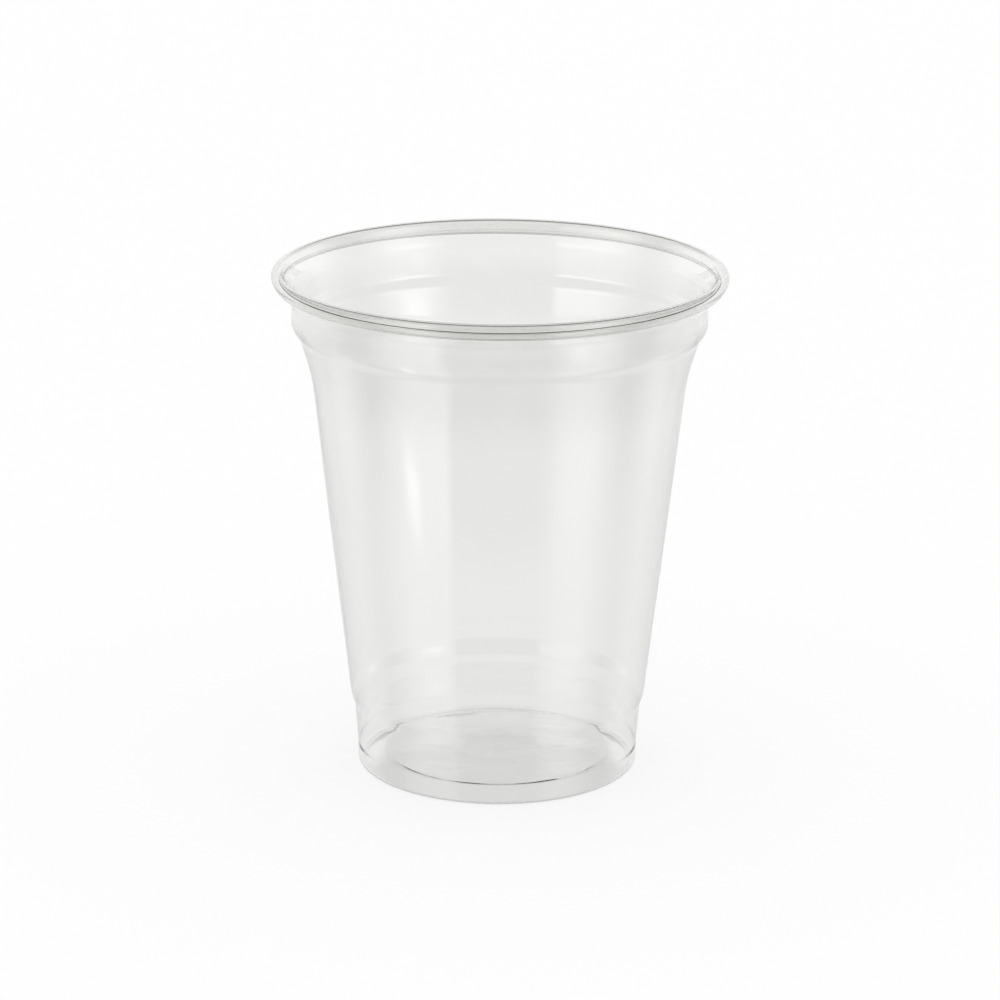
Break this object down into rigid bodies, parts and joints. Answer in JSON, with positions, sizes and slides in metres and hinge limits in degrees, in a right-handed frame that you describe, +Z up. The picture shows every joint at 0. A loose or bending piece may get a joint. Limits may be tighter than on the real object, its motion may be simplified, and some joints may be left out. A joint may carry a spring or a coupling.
{
  "type": "plastic cup",
  "caption": "Clear tapered drinking cup with a raised floor, foot ring, stepped base band, stacking shoulder and rolled rim for a push-on lid.",
  "frame": {"origin": "middle of the foot ring's underside, on the surface that the cup stands on", "axes": "+Z up along the cup's axis, from the foot to the mouth; X and Y are alike"},
  "size_m": [0.095, 0.095, 0.1075],
  "materials": {
    "clear_plastic": "clear glossy formed sheet, smooth on both faces"
  },
  "bodies": {
    "root": {"cup": "clear_plastic"}
  },
  "joints": []
}
